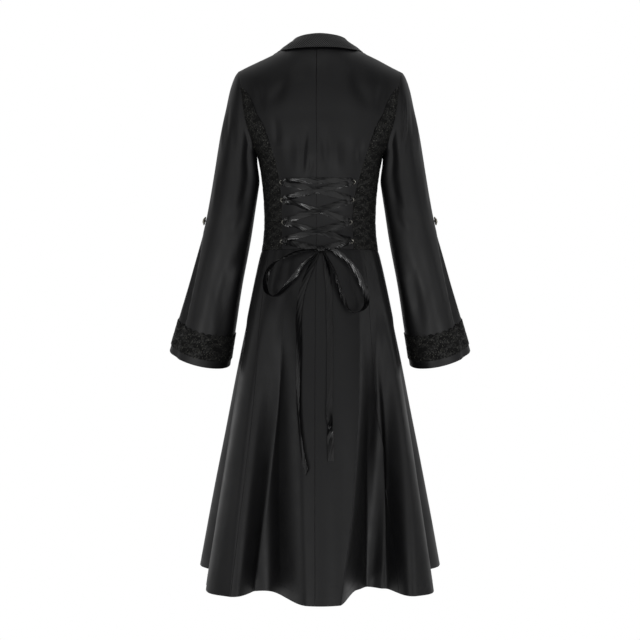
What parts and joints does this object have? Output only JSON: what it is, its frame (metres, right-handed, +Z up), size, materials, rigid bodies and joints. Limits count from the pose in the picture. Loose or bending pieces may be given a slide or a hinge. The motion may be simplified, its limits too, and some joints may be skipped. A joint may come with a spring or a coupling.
{
  "type": "tailcoat",
  "caption": "Long tailcoat filled out as worn, open at neck, cuffs and hem, with a laced back, flared sleeves and a full folded skirt.",
  "frame": {"origin": "midway between the shoulders at the height of the neck, where the wearer holds the coat", "axes": "+Z up, -Y out of the front of the coat, +X to the wearer's left"},
  "size_m": [0.7006, 0.535, 1.2276],
  "materials": {
    "satin": "black satin with a soft sheen",
    "brocade": "black brocade with small scrolls, dull",
    "striped_satin": "black satin with fine woven stripes",
    "ribbon": "shiny black satin ribbon",
    "ring_metal": "bright wire",
    "button_metal": "antique pewter, cast"
  },
  "bodies": {
    "root": {"back_left": "satin", "back_right": "satin", "bow_knot": "ribbon", "bow_left": "ribbon", "bow_right": "ribbon", "collar": "striped_satin", "cuff_back_left": "brocade", "cuff_back_right": "brocade", "cuff_front_left": "brocade", "cuff_front_right": "brocade", "front_button_1": "button_metal", "front_button_2": "button_metal", "front_button_3": "button_metal", "front_button_4": "button_metal", "front_left": "satin", "front_right": "satin", "lace_1_down_left": "ribbon", "lace_1_down_right": "ribbon", "lace_2_down_left": "ribbon", "lace_2_down_right": "ribbon", "lace_3_down_left": "ribbon", "lace_3_down_right": "ribbon", "lace_end_left": "ribbon", "lace_end_right": "ribbon", "lace_top": "ribbon", "lapel_left": "striped_satin", "lapel_right": "striped_satin", "ring_1_left": "ring_metal", "ring_1_right": "ring_metal", "ring_2_left": "ring_metal", "ring_2_right": "ring_metal", "ring_3_left": "ring_metal", "ring_3_right": "ring_metal", "ring_4_left": "ring_metal", "ring_4_right": "ring_metal", "side_back_left": "brocade", "side_back_right": "brocade", "skirt_back_left": "satin", "skirt_back_right": "satin", "skirt_front_left": "satin", "skirt_front_right": "satin", "skirt_side_left": "satin", "skirt_side_right": "satin", "sleeve_back_left": "satin", "sleeve_back_right": "satin", "sleeve_button_left": "button_metal", "sleeve_button_right": "button_metal", "sleeve_front_left": "satin", "sleeve_front_right": "satin", "tail_left": "ribbon", "tail_right": "ribbon", "waistband_left": "brocade", "waistband_right": "brocade"}
  },
  "joints": []
}
